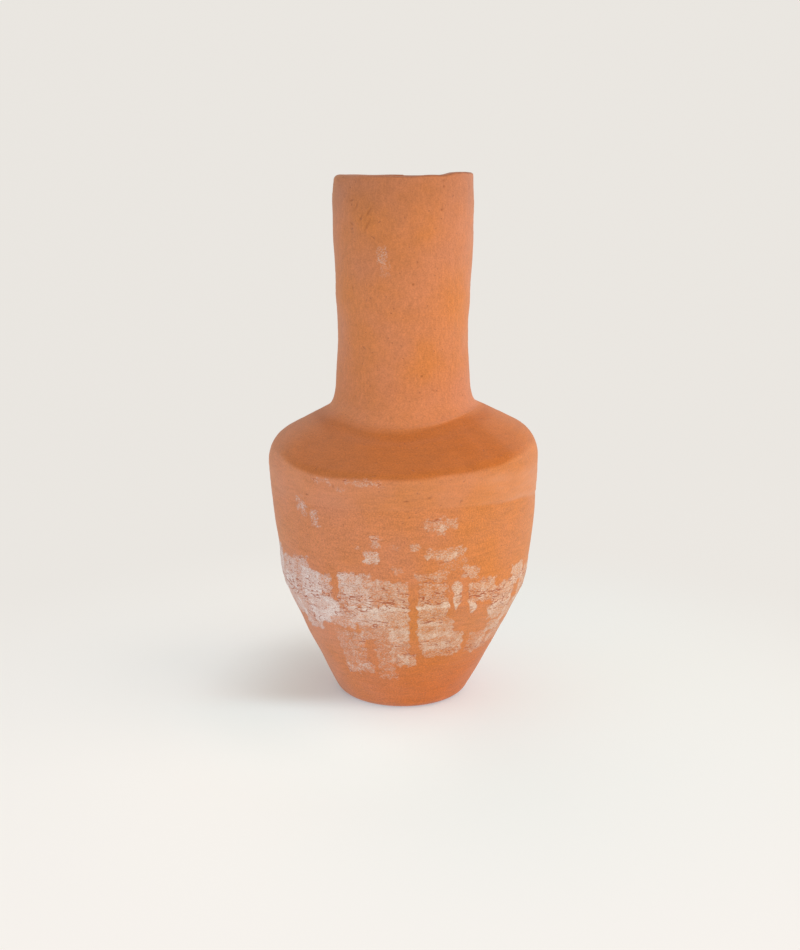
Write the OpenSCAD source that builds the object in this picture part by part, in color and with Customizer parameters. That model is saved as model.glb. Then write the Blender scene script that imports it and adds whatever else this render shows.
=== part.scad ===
// Long-necked terracotta jar, hand-built in luted sections.
// Millimetres, +Z up, origin at the centre of the underside.

/* [Overall] */
// Height from the standing face to the lip
height = 445; // [430:1:460]
// Radius of the flat standing face
foot_r = 48.5; // [46:0.5:50]
// Thickness of the wall
wall = 8; // [7:0.5:9]
// Thickness of the floor
floor_t = 10; // [9:0.5:12]

/* [Body] */
// Height of the waist, where the cone turns into the belly
waist_z = 105.5; // [102:0.5:109]
// Radius of the waist corner, before rounding
waist_r = 107; // [104:0.5:108]
// Height of the shoulder corner, before rounding
shoulder_z = 226; // [224:0.5:228]
// Radius of the shoulder corner, before rounding
shoulder_r = 116.5; // [116:0.5:118]

/* [Neck] */
// Height of the corner between shoulder and neck
neck_z = 257; // [255:0.5:259]
// Outer radius of the neck at its foot
neck_foot_r = 57.3; // [57:0.1:58.5]
// Outer radius at the narrowest point of the neck
neck_waist_r = 54.4; // [54:0.1:56]
// Radius of the neck's bore
mouth_r = 47.5; // [46:0.5:48]

/* [Rim] */
// Height where the rim coil starts
rim_z = 407; // [404:1:411]
// Outer radius at the fullest point of the rim
rim_r = 58.5; // [58:0.1:60]

/* [Clay coils] */
// Radius of the round fillet pressed inside the foot
base_coil_r = 16; // [12:1:18]
// Radius of the coils pressed over the waist and shoulder joints
joint_coil_r = 13; // [11:1:14]
// Radius of the hollow of the collar round the neck's foot
collar_r = 24; // [18:1:26]

/* [Hidden] */
$fn = 128;

// Fired clay, a little different from section to section
clay = "#b9714a";
clay_pale = "#c68a68";
clay_inside = "#a4613f";

// Rounding radii of the outer corners
foot_round = 10;
waist_round = 60;
shoulder_round = 30;
neck_round = 400;
rim_round = 200;
lip_round = 5;
mouth_round = 3;

// How far a joint coil's middle lies outside its joint's inner end
coil_sink = 9;

// Straight steps along each rounded corner
arc_steps = 12;

// Outer corners of the wall, as [radius, height]
foot_corner = [foot_r + 6, 0];
waist = [waist_r, waist_z];
shoulder_corner = [shoulder_r, shoulder_z];
neck_foot = [neck_foot_r, neck_z];
neck_waist = [neck_waist_r, neck_z + 57];
rim_bulge = [rim_r, rim_z + 8];
lip = [rim_r - 1, height];

// Inner corners: the outer walls moved in by the wall's thickness
inner_waist = corner_inside(foot_corner, waist, shoulder_corner);
inner_shoulder = corner_inside(waist, shoulder_corner, neck_foot);
inner_foot = at_height(moved_in(foot_corner, waist), floor_t);
inner_neck = at_radius(moved_in(shoulder_corner, neck_foot), mouth_r);

// Luted joints, each from just outside the wall to just inside it
foot_joint = [[foot_r + wall, floor_t], [foot_r - wall, floor_t]];
waist_joint = [[waist_r, waist_z - 4], inner_waist - [4, 3]];
belly_joint = [[shoulder_r, shoulder_z - 38], inner_shoulder - [4, 20]];
neck_joint = [neck_foot, inner_neck];
rim_joint = [[rim_r + 1, rim_z], [mouth_r - 1, rim_z + 7]];
brim = [[rim_r, height + 1], [mouth_r, height + 1]];

function unit(v) = v / norm(v);
function square_to(v) = [-v.y, v.x];

// A wall's line moved towards the axis by the wall's thickness
function moved_in(a, b) = [
    a + square_to(unit(b - a)) * wall,
    b + square_to(unit(b - a)) * wall
];

// Points on a line at a given height, or at a given radius
function at_height(line, z) =
    line[0] + (line[1] - line[0]) * (z - line[0].y) / (line[1].y - line[0].y);
function at_radius(line, r) =
    line[0] + (line[1] - line[0]) * (r - line[0].x) / (line[1].x - line[0].x);

// Where two lines meet
function crossing(one, two) =
    let (
        d = one[1] - one[0],
        e = two[1] - two[0],
        gap = two[0] - one[0],
        share = cross(gap, e) / cross(d, e)
    )
    one[0] + d * share;

function corner_inside(a, b, c) = crossing(moved_in(a, b), moved_in(b, c));

// Points along the arc that rounds the corner between two lines
function rounded(a, corner, b, radius) =
    let (
        u = unit(a - corner),
        v = unit(b - corner),
        half = acos(u * v) / 2,
        middle = corner + unit(u + v) * radius / sin(half),
        start = corner + u * radius / tan(half) - middle,
        turn = sign(cross(v, u)) * (180 - 2 * half),
        from = atan2(start.y, start.x)
    )
    [for (i = [0:arc_steps])
        middle + radius * [cos(from + turn * i / arc_steps), sin(from + turn * i / arc_steps)]];

// Half section of the whole jar as if it were solid
module outer_outline() {
    polygon(concat(
        [[0, 0]],
        rounded([0, 0], foot_corner, waist, foot_round),
        rounded(foot_corner, waist, shoulder_corner, waist_round),
        rounded(waist, shoulder_corner, neck_foot, shoulder_round),
        [neck_foot],
        rounded(neck_foot, neck_waist, rim_bulge, neck_round),
        rounded(neck_waist, rim_bulge, lip, rim_round),
        rounded(rim_bulge, lip, [0, height], lip_round),
        [[0, height]]
    ));
}

// Half section of the hollow, open at the mouth
module hollow_outline() {
    mouth_edge = [mouth_r, height];
    polygon(concat(
        [[0, floor_t], inner_foot],
        rounded(inner_foot, inner_waist, inner_shoulder, waist_round - wall),
        rounded(inner_waist, inner_shoulder, inner_neck, shoulder_round - wall),
        [inner_neck],
        rounded(inner_neck, mouth_edge, lip, mouth_round),
        [[lip.x, height + 1], [0, height + 1]]
    ));
}

// Everything in the half plane below a joint
module below(joint) {
    far = 2 * shoulder_r;
    polygon([
        [0, -1], [far, -1], [far, joint[0].y],
        joint[0], joint[1], [0, joint[1].y]
    ]);
}

// Half section of the clay between a lower and an upper joint
module wall_section(low, high) {
    intersection() {
        difference() {
            outer_outline();
            hollow_outline();
            below(low);
        }
        below(high);
    }
}

// Half section of a round coil pressed over a joint from inside
module coil_section(joint) {
    intersection() {
        hollow_outline();
        translate(joint[1] + [coil_sink, 0]) circle(r = joint_coil_r);
    }
}

// Half section of a hollow fillet in the corner between two walls
module fillet_section(a, corner, b, radius) {
    polygon(concat([corner], rounded(a, corner, b, radius)));
}

// Round slab the jar stands on
module floor_disc() {
    color(clay) rotate_extrude() intersection() {
        outer_outline();
        square([2 * foot_r, floor_t]);
    }
}

// Fillet of clay in the corner between floor and wall
module base_coil() {
    color(clay_inside) rotate_extrude()
        fillet_section([0, floor_t], inner_foot, inner_waist, base_coil_r);
}

// Flaring cone from the floor to the waist
module lower_wall() {
    color(clay) rotate_extrude() wall_section(foot_joint, waist_joint);
}

// Coil over the inside of the waist joint
module waist_coil() {
    color(clay_inside) rotate_extrude() coil_section(waist_joint);
}

// Near-upright band between the waist and the shoulder
module belly_wall() {
    color(clay) rotate_extrude() wall_section(waist_joint, belly_joint);
}

// Coil over the inside of the shoulder joint
module shoulder_coil() {
    color(clay_inside) rotate_extrude() coil_section(belly_joint);
}

// Rounded shoulder edge and the slope up to the neck
module shoulder() {
    color(clay) rotate_extrude() wall_section(belly_joint, neck_joint);
}

// Fillet coil round the foot of the neck
module collar_coil() {
    color(clay_pale) rotate_extrude()
        fillet_section(shoulder_corner, neck_foot, neck_waist, collar_r);
}

// Long neck with a straight bore
module neck() {
    color(clay_pale) rotate_extrude() wall_section(neck_joint, rim_joint);
}

// Thickened lip with rounded edges
module rim() {
    color(clay) rotate_extrude() wall_section(rim_joint, brim);
}

floor_disc();
base_coil();
lower_wall();
waist_coil();
belly_wall();
shoulder_coil();
shoulder();
collar_coil();
neck();
rim();
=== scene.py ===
# %% [markdown]
# # A tall terracotta jar, shaped and limewashed by hand
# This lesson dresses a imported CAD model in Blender. The frame holds ten plain sections of a jar.
# Each one is replaced by a surface worked out with numpy: the same clay section, but a little out
# of round, ribbed by fingers and worn. Every length below is in millimetres until it is put into
# a mesh, and Blender's own unit is the metre.

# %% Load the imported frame
import math

import bpy
import numpy as np
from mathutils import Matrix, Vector


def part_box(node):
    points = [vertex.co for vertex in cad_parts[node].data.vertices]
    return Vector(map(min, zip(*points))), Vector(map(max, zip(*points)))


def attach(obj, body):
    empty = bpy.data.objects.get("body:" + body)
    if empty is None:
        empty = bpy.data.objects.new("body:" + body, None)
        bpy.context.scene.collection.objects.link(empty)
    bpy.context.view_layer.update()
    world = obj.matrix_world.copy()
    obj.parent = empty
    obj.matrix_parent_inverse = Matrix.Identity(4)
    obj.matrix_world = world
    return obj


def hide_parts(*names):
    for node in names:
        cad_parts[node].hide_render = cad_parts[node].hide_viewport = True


MM = 0.001
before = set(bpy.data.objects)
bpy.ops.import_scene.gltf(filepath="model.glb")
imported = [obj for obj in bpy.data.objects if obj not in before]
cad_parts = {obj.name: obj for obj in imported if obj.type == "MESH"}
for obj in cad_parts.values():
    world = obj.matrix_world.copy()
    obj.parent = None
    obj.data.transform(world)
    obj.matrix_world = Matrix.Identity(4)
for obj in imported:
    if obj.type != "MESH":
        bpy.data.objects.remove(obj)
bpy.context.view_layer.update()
print("sections in the frame:", ", ".join(sorted(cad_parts)))

# %% [markdown]
# ## The outline
# A potter thinks of this jar as a few straight runs with soft turns between them: a flat foot, a
# flaring cone, a steep belly, a sloping shoulder and a long neck. So the outline here is a list of
# corners, each with the radius of the arc that softens it. Heights and widths that the frame
# knows are read from its boxes, so that the visible jar can't drift away from the CAD sections.

# %% Sizes from the frame


def low_mm(node):
    """A section's lowest corner in the frame, in millimetres."""
    return np.array(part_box(node)[0]) / MM


def high_mm(node):
    """A section's highest corner in the frame, in millimetres."""
    return np.array(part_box(node)[1]) / MM


TOP = high_mm("rim")[2]
FLOOR = high_mm("floor_disc")[2]
WIDEST = high_mm("shoulder")[0]
NECK_FOOT_Z = high_mm("shoulder")[2]
RIM_JOINT_Z = low_mm("rim")[2]
WALL = 8.0
MOUTH = 47.5
print(f"height {TOP:.1f}, widest {2 * WIDEST:.1f}, floor {FLOOR:.1f} mm")

# %% Corners of the outline, as (radius, height, radius of the arc)
FOOT = (54.5, 0.0, 13.0)
WAIST = (107.0, 105.5, 60.0)
SHOULDER = (WIDEST + 1.6, 226.6, 30.0)
NECK_FOOT = (57.3, NECK_FOOT_Z, 0.0)
NECK_WAIST = (54.4, NECK_FOOT_Z + 57.0, 300.0)
NECK_SWELL = (56.5, NECK_FOOT_Z + 93.0, 400.0)
RIM_BULGE = (58.5, RIM_JOINT_Z + 8.0, 200.0)
LIP = (RIM_BULGE[0] - 1.0, TOP, 5.0)
LIP_MIDDLE = (0.5 * (MOUTH + LIP[0]), TOP, 0.0)

# %% Turning corners into smooth paths


def arc_points(before, corner, after, radius, count=24):
    """The arc that touches both lines of a corner.

    Its ends lie radius / tan(half the corner's angle) from the corner, and its middle lies
    radius / sin(half the angle) from it, on the line that halves the angle.
    """
    back = (before - corner) / np.linalg.norm(before - corner)
    on = (after - corner) / np.linalg.norm(after - corner)
    half = math.acos(float(np.clip(back @ on, -1, 1))) / 2
    middle = corner + (back + on) / np.linalg.norm(back + on) * radius / math.sin(half)
    first = corner + back * radius / math.tan(half) - middle
    last = corner + on * radius / math.tan(half) - middle
    start = math.atan2(first[1], first[0])
    turn = math.atan2(first[0] * last[1] - first[1] * last[0], first @ last)
    angle = start + turn * np.linspace(0, 1, count)
    return middle + radius * np.stack([np.cos(angle), np.sin(angle)], axis=1)


def soft_path(corners, step=0.2):
    """A path through (radius, height, arc) corners, as points one small step apart."""
    places = [np.array(c[:2]) for c in corners]
    parts = [places[0][None]]
    for before, (corner, arc), after in zip(
        places, zip(places[1:-1], [c[2] for c in corners[1:-1]]), places[2:]
    ):
        parts.append(arc_points(before, corner, after, arc) if arc else corner[None])
    parts.append(places[-1][None])
    rough = np.concatenate(parts)
    along = np.concatenate([[0], np.cumsum(np.linalg.norm(np.diff(rough, axis=0), axis=1))])
    even = np.linspace(0, along[-1], int(along[-1] / step) + 1)
    return np.stack([np.interp(even, along, rough[:, k]) for k in (0, 1)], axis=1)


BODY = [(0.0, 0.0, 0.0), FOOT, WAIST, SHOULDER]
outside = soft_path(BODY + [NECK_FOOT, NECK_WAIST, NECK_SWELL, RIM_BULGE, LIP, LIP_MIDDLE])
crisp_outside = soft_path([WAIST[:2] + (0.0,), SHOULDER[:2] + (9.0,), NECK_FOOT])
print(f"outside path: {len(outside)} points, widest {outside[:, 0].max():.2f} mm")

# %% [markdown]
# ## The inside
# A wall has two faces. The inside is the outside moved in by the wall's thickness: each straight
# run is shifted square to itself, and the new corners are where the shifted runs cross. Only the
# neck differs, because its bore is a straight cylinder that a stopper could fit.

# %% The inside path


def moved_in(a, b):
    """A run of wall, from a to b, shifted towards the axis by the wall's thickness."""
    a, b = np.array(a[:2]), np.array(b[:2])
    along = (b - a) / np.linalg.norm(b - a)
    square = np.array([-along[1], along[0]])
    return a + square * WALL, b + square * WALL


def crossing(one, two):
    """Where two lines cross: solve a + s d = b + t e for s."""
    (a, a_end), (b, b_end) = one, two
    s, _ = np.linalg.solve(np.stack([a_end - a, b - b_end], axis=1), b - a)
    return a + s * (a_end - a)


cone_in = moved_in(FOOT, WAIST)
belly_in = moved_in(WAIST, SHOULDER)
slope_in = moved_in(SHOULDER, NECK_FOOT)
floor_line = (np.array([0.0, FLOOR]), np.array([1.0, FLOOR]))
bore_line = (np.array([MOUTH, 0.0]), np.array([MOUTH, 1.0]))
inner_foot = crossing(floor_line, cone_in)
inner_waist = crossing(cone_in, belly_in)
inner_shoulder = crossing(belly_in, slope_in)
inner_neck = crossing(slope_in, bore_line)
inside = soft_path(
    [
        (0.0, FLOOR, 0.0),
        (*inner_foot, 0.0),
        (*inner_waist, WAIST[2] - WALL),
        (*inner_shoulder, SHOULDER[2] - WALL),
        (*inner_neck, 0.0),
        (MOUTH, TOP, 3.0),
        LIP_MIDDLE,
    ]
)
print(f"inside path: {len(inside)} points, foot at radius {inner_foot[0]:.1f} mm")

# %% [markdown]
# ## What the hands did
# Nothing thrown or coiled by hand is a perfect body of revolution. Five things bend it: slow
# dents, a middle line that wanders as the jar grows, a shoulder that was set on slightly tilted,
# its edge, which sagged at the front, and a lip that rises and falls. Each is a function of the
# angle round the jar and the height, so a section and its neighbour always agree where they meet.

# %% Smooth helpers


def smooth_step(low, high, x):
    """0 below low, 1 above high, and the cubic 3t^2 - 2t^3 between them."""
    t = np.clip((x - low) / (high - low), 0, 1)
    return t * t * (3 - 2 * t)


def curve(x, stations, values):
    """Values at a few stations, joined by cosine-shaped steps."""
    x = np.clip(x, stations[0], stations[-1])
    k = np.clip(np.searchsorted(stations, x, side="right") - 1, 0, len(stations) - 2)
    left, right = np.take(stations, k), np.take(stations, k + 1)
    share = 0.5 - 0.5 * np.cos(np.pi * (x - left) / (right - left))
    return np.take(values, k) * (1 - share) + np.take(values, k + 1) * share


def bell(x, middle, width):
    """A soft bump: e to the power of minus (x - middle)^2 / width^2."""
    return np.exp(-(((x - middle) / width) ** 2))


# %% Uneven clay as a sum of waves


def uneven(angle, height, seed, turns, lengths, count=28):
    """Smooth unevenness that closes round the jar.

    It is a sum of cosines of (n times the angle + k times the height + phase), with whole
    numbers n, so that the pattern meets itself. turns is the range of n, and lengths is the
    range of wavelengths up the wall in millimetres. The sum is scaled to a spread of about 1.
    """
    dice = np.random.default_rng(seed)
    total = np.zeros(np.broadcast(angle, height).shape)
    for _ in range(count):
        n = int(dice.integers(turns[0], turns[1] + 1)) * int(dice.choice([-1, 1]))
        k = 2 * np.pi / dice.uniform(*lengths)
        total = total + np.cos(n * angle + k * height + dice.uniform(0, 2 * np.pi))
    return total / math.sqrt(count / 2)


def wavering(angle, seed, turns, count):
    """Unevenness of a line round the jar, which changes with the angle alone."""
    return uneven(angle, 0 * angle, seed, turns, (50, 60), count)


# %% Sway, tilt, sag and dents
# The middle line's place to the right, at some heights
SWAY_Z = np.array([0, 40, 100, 145, 180, 215, 270, 330, 390, 445], float)
SWAY_X = np.array([-0.7, 0.1, 1.1, 1.2, 0.8, 0.3, -0.3, -0.4, 0.4, -0.1])
# The shoulder's slope to the right, and how far both its sides are lifted
SHOULDER_TILT = 0.025
SIDE_LIFT = 0.9
# How far the shoulder's edge drops, at some angles, and the height where the sag starts
SAG_DEGREES = np.array([-180.0, -73.0, -25.0, 0.0, 22.0, 38.0, 52.0, 75.0, 180.0])
SAG_DROP = np.array([3.5, 1.6, 10.8, 11.6, 8.8, 6.0, 2.4, 2.6, 3.5])
SAG_FOOT = 188.0


def rim_wave(angle):
    """The lip's rise and fall: a high stretch at the front right, and a slight dip at the front."""
    degrees = np.degrees(angle)
    rise = 2.3 * smooth_step(32, 50, degrees) * smooth_step(104, 76, degrees)
    dip = 0.4 * smooth_step(-40, -70, degrees) - 0.6 * bell(degrees, -8, 22)
    return rise + dip - 0.3 + 0.15 * wavering(angle, 6, (3, 12), 12)


def apart(degrees, place):
    """The short way round from a place to an angle, in degrees, from -180 to 180."""
    return (degrees - place + 180) % 360 - 180


def edge_crispness(angle):
    """How crisp the shoulder's edge is: knife-cut in front and behind, thumbed round at the sides."""
    return 0.1 + 0.9 * smooth_step(0.25, 0.7, np.abs(np.cos(angle)))


def edge_sag(angle, height):
    """How far the crisp shoulder edge has sagged, most at the front left.

    The sag belongs to the edge. It fades evenly to nothing at the joint below and at the neck.
    """
    drop = curve(np.degrees(angle), SAG_DEGREES, SAG_DROP)
    below = (height - SAG_FOOT) / (SHOULDER[1] - SAG_FOOT)
    above = (NECK_FOOT[1] - height) / (NECK_FOOT[1] - SHOULDER[1])
    return drop * edge_crispness(angle) * np.clip(np.minimum(below, above), 0, 1)


def hand_shape(angle, radius, height):
    """Where a point of the perfect jar ends up, in millimetres.

    The angle is 0 at the front and grows to the right. The radius gets slow dents, and the middle
    line moves by the sway. The shoulder is lifted on the right by its tilt and at both sides by
    the square of the sine, its edge sags, and the lip waves.
    """
    dents = 0.35 * uneven(angle, height, 3, (2, 5), (90, 260))
    small = 0.14 * uneven(angle, height, 4, (5, 14), (18, 60))
    fade = smooth_step(0, 12, height)
    round_off = radius + (dents + small) * fade * np.clip(radius / 40, 0, 1)
    tilt = SHOULDER_TILT * smooth_step(150, 215, height) * (1 - smooth_step(262, 310, height))
    x = curve(height, SWAY_Z, SWAY_X) + round_off * np.sin(angle)
    y = 0.4 * np.sin(height / 90.0) - round_off * np.cos(angle)
    z = height + tilt * radius * np.sin(angle) - edge_sag(angle, height)
    z = z + SIDE_LIFT * np.sin(angle) ** 2 * tilt / SHOULDER_TILT
    z = z + rim_wave(angle) * smooth_step(TOP - 30, TOP, height)
    return np.stack(np.broadcast_arrays(x, y, z), axis=-1)


# %% [markdown]
# ## Marks on the outside
# Finer marks stand on the wall's own face, so they are heights along its normal: throwing rings,
# the ridge and scoring over the waist joint, the step under the band that was smoothed over the
# shoulder joint, the hollow thumbed under the collar, and a few deep pits and scratches.

# %% Rings, ridge and steps
SEAM_SIDE_DROP = 3.5
BAND_EDGE = 189.0
BAND_SIDE_DROP = 9.0
TROUGH_DROP = 4.2
TROUGH_WIDTH = 2.4


def seam_height(angle):
    """The waist seam's height: level at the front and a little lower round the sides."""
    return WAIST[1] - SEAM_SIDE_DROP * (1 - np.cos(angle)) + 1.2 * wavering(angle, 8, (2, 7), 8)


def collar_run(angle):
    """How far the collar runs down the slope: furthest in front, less behind, least at the sides."""
    degrees = np.degrees(angle)
    return 7.0 + 11.5 * bell(degrees, 0, 50) + 9.0 * bell(apart(degrees, 185), 0, 50)


def collar_foot(angle):
    """The height where the collar's foot lies on the slope."""
    fall = math.atan2(NECK_FOOT[1] - SHOULDER[1], SHOULDER[0] - NECK_FOOT[0])
    return NECK_FOOT[1] - collar_run(angle) * math.sin(fall)


def collar_crisp(angle):
    """Where the collar's foot was pressed to a crisp edge: only at the front right."""
    return bell(np.degrees(angle), 32, 24)


def collar_trough(angle, height):
    """The hollow that a thumb left in the slope, just under the collar's foot."""
    return bell(height - collar_foot(angle), -TROUGH_DROP, TROUGH_WIDTH)


def rings(angle, height):
    """Shallow throwing rings: waves up the wall that drift round it and fade in and out."""
    drift = 2.0 * uneven(angle, height, 11, (1, 3), (120, 300), 8)
    wave = np.sin(2 * np.pi * (height + drift) / 7.5) + 0.6 * np.sin(2 * np.pi * (height + drift) / 3.9)
    fade = smooth_step(-1.2, 1.2, uneven(angle, height, 12, (1, 4), (40, 120), 10))
    return wave * fade


def waist_marks(angle, height):
    """The luted waist: a pressed ridge, a hollow over it, and broken scoring above."""
    off = height - seam_height(angle)
    front = 0.35 + 0.65 * smooth_step(-1.0, 0.8, uneven(angle, height, 21, (2, 6), (200, 400), 8))
    ridge = 0.55 * bell(off, -0.6, 1.7) - 0.45 * bell(off, 2.2, 1.3)
    torn = uneven(angle, height, 22, (14, 60), (4.5, 9), 40)
    broken = -0.16 * np.clip(torn, 0, 3) * bell(off, 9.0, 8.0)
    return front * ridge + broken


def band_edge(angle):
    """The height where the smoothed band starts: level in front, lower round the sides and back."""
    drop = BAND_SIDE_DROP * smooth_step(0.9, 1.5, np.abs(angle))
    return BAND_EDGE - drop + 1.2 * wavering(angle, 31, (2, 6), 8)


def band_step(angle, height):
    """The smoothed band's lower edge: a small step that is clearest at the right."""
    rise = height - band_edge(angle)
    share = 0.35 + 0.65 * smooth_step(-0.1, 0.8, np.sin(angle))
    return 0.45 * share * smooth_step(-1.2, 1.2, rise) * (1 - smooth_step(6, 26, rise))


# %% Scratches and pits
SCRATCH_WIDTH = 0.8
SCRATCH_DEPTH = 0.35
PIT_WIDTH = 0.9
PIT_DEPTH = 0.6
# Places as (degrees, height), with two for each scratch
NECK_SCRATCHES = [
    ((-31, 412), (-25, 421)), ((-33, 400), (-26, 412)), ((-48, 424), (-43, 426)),
    ((-42, 417), (-39, 424)), ((-49, 409), (-43, 405)), ((-37, 408), (-34, 415)),
    ((-46, 359), (-45, 354)), ((32, 440), (36, 441)),
]
PITS = [
    (8, 360), (16, 286), (-13, 257), (25, 273), (34, 436), (31, 418), (1, 201), (10, 203), (-43, 199),
]


def groove(angle, height, start, end):
    """A scratch: a groove along the straight line between two (degrees, height) places."""
    x = np.degrees(angle) - start[0]
    y = height - start[1]
    dx, dy = end[0] - start[0], end[1] - start[1]
    share = np.clip((x * dx + y * dy) / (dx * dx + dy * dy), 0, 1)
    gap = np.hypot(x - share * dx, y - share * dy)
    return -SCRATCH_DEPTH * bell(gap, 0, SCRATCH_WIDTH) * np.sin(np.pi * np.clip(share, 0.04, 0.96))


def small_marks(angle, height):
    """Every scratch and pit added together."""
    total = np.zeros(np.broadcast(angle, height).shape)
    for start, end in NECK_SCRATCHES:
        total = total + groove(angle, height, start, end)
    for degrees, at in PITS:
        gap = np.hypot(np.degrees(angle) - degrees, height - at)
        total = total - PIT_DEPTH * bell(gap, 0, PIT_WIDTH)
    return total


def outside_marks(angle, height):
    """How far the outside stands proud of its smooth shape, in millimetres along its normal."""
    clear_of_lip = 1 - smooth_step(TOP - 8, TOP - 2, height)
    clear_of_foot = smooth_step(4, 16, height)
    marks = 0.055 * rings(angle, height) * clear_of_lip * clear_of_foot
    lower = (height > 60) & (height < 240)
    marks = marks + np.where(lower, waist_marks(angle, height) + band_step(angle, height), 0)
    front = smooth_step(-1.1, -0.6, angle) * smooth_step(0.9, 0.3, angle)
    marks = marks - 0.7 * front * collar_trough(angle, height)
    return marks + small_marks(angle, height) * clear_of_lip


# %% [markdown]
# ## Limewash
# The lower half was brushed with thin lime, which has worn, run and been wiped. Paint like this is
# easiest to place as brush dabs: each is a rectangle on the wall, in degrees round the jar and
# millimetres up it, with a strength. The dabs at the front are placed one by one, and the rest of
# the way round a seeded dice places dabs of the same kind. The result is one number for each
# vertex, called lime, which the material turns into ragged paint. A second one, called clean,
# says where water washed the paint off.

# %% Dabs at the front, as (left, right, low, high, strength)
FRONT_DABS = [
    # over the waist seam
    (-88, -71, 100, 143, 0.8), (-72, -56, 108, 138, 0.66), (-69, -57, 111, 122, 0.9),
    (-56, -46, 112, 143, 0.55), (-51, -40, 108, 134, 0.75), (-41, -33, 108, 134, 0.6),
    (-30, -15, 111, 138, 0.62), (-16, -8, 110, 134, 0.5), (-8, 2, 109, 132, 0.52),
    (6, 18, 109, 131, 0.45), (20, 25, 114, 130, 0.7), (18, 28, 109, 115, 0.5),
    (28, 36, 111, 127, 0.50), (35, 43, 109, 129, 0.54), (42, 58, 100, 122, 0.60),
    (55, 67, 116, 132, 0.68), (64, 84, 96, 124, 0.62), (4, 18, 133, 140, 0.4),
    (25, 33, 131, 142, 0.48), (14, 27, 140, 151, 0.22),
    # under the waist seam, left of the long drip
    (-95, -74, 54, 104, 0.55), (-74, -58, 84, 110, 0.66), (-60, -46, 76, 112, 0.62),
    (-49, -38, 86, 100, 0.85), (-47, -30, 96, 112, 0.76), (-38, -24, 86, 106, 0.5),
    (-25, -12, 91, 107, 0.72), (-12, 2, 92, 107, 0.62), (-22, 2, 76, 92, 0.42), (-7, 3, 52, 90, 0.42),
    (-38, -30, 44, 82, 0.3), (-30, -21, 46, 84, 0.36), (-39, -29, 37, 46, 0.5),
    (-29, -18, 41, 50, 0.36), (-16, -3, 36, 43, 0.3), (-15, -5, 44, 76, 0.32), (-3, 8, 50, 62, 0.5),
    # under the waist seam, right of the long drip
    (6, 19, 91, 108, 0.5), (6, 24, 78, 96, 0.5), (8, 32, 66, 84, 0.46), (10, 34, 58, 74, 0.42),
    (22.5, 25.5, 101, 110, 0.85), (29, 33, 102, 111, 0.85), (39, 46, 94, 103, 0.52),
    (43, 58, 88, 106, 0.60), (47, 60, 74, 86, 0.62), (56, 76, 82, 100, 0.56), (54, 78, 60, 76, 0.42),
    (36, 50, 57, 78, 0.34), (44, 58, 56, 70, 0.36),
    # loose smears on the belly and the shoulder's edge
    (-50, -46, 183, 195, 0.42), (-47, -44, 178, 190, 0.4), (-42, -38, 172, 186, 0.4),
    (-40, -30, 209, 214, 0.24), (-24, -8, 211, 216, 0.28), (-28, -24, 205, 209, 0.22),
    (-14, -10, 160, 171, 0.36), (-17, -11, 147, 157, 0.66), (-21, -19, 157, 162, 0.4),
    (8, 22, 175, 184, 0.38), (13, 17, 171, 178, 0.40), (9, 26, 151, 160, 0.42),
    (12, 22, 149, 155, 0.36), (2, 6, 158, 164, 0.42), (-5, -1, 140, 144, 0.36),
    (-6, -2, 157, 165, 0.2),
    # a smudge high on the neck
    (-22, -13, 379, 392, 0.30), (-19, -10, 367, 380, 0.2),
]
# Clean runs that water washed through the lime, as [(degrees, height, half width)]
FRONT_RUNS = [
    [(3.4, 134, 1.9), (3.8, 108, 1.5), (4.4, 80, 1.5), (6.4, 70, 1.6), (10.0, 58, 2.4), (14, 44, 5.0)],
    [(-31.5, 138, 1.4), (-30.6, 121, 1.3)],
    [(26.6, 132, 1.2), (26.8, 112, 1.6), (26.0, 101, 4.5)],
    [(19.5, 131, 0.7), (20.5, 112, 1.0), (21.6, 103, 1.5), (26, 94, 2.4), (31, 86, 3.0),
     (34, 78, 1.8), (35, 66, 1.5), (36.5, 55, 1.2)],
    [(37, 104, 2.0), (38.5, 95, 3.6), (39, 88, 3.8), (40, 79, 2.2)],
]

# %% Dabs the rest of the way round
dice = np.random.default_rng(41)


def back_dabs(count=70):
    """Dabs of the same kind over the sides and back, denser near the waist seam."""
    middle = dice.uniform(84, 276, count)
    width = dice.uniform(6, 17, count)
    low = dice.uniform(42, 118, count)
    tall = dice.uniform(8, 34, count)
    strength = 0.62 - 0.3 * np.abs(low + tall / 2 - 105) / 60 + dice.uniform(-0.12, 0.12, count)
    high = np.minimum(low + tall, 142 + 6 * np.sin(np.radians(middle * 3)))
    return list(zip(middle - width / 2, middle + width / 2, low, high, strength))


def back_runs(count=9):
    """Clean runs over the sides and back, each starting over the lime and wandering down."""
    runs = []
    for start in np.linspace(92, 268, count) + dice.uniform(-7, 7, count):
        lean = dice.uniform(-4, 4)
        end = dice.uniform(60, 112)
        runs.append([(start, 142, 1.6), (start + 0.3 * lean, 110, 1.4), (start + lean, end, 1.8)])
    return runs


DABS = FRONT_DABS + back_dabs()
RUNS = FRONT_RUNS + back_runs()
print(f"{len(DABS)} dabs of lime, {len(RUNS)} clean runs")

# %% Putting the dabs and runs on the wall
# The dabs and runs lie this much lower than their lists say
DAB_DROP = 2.5


def dab(degrees, height, left, right, low, high, strength, soft=1.0):
    """A rectangle with soft edges: the product of a step in and out, both ways."""
    middle, half = (left + right) / 2, (right - left) / 2
    across = smooth_step(half + soft, half - soft * 0.6, np.abs(apart(degrees, middle)))
    up = smooth_step(low - soft, low + soft, height) * smooth_step(high + soft, high - soft, height)
    return strength * across * up


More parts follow.
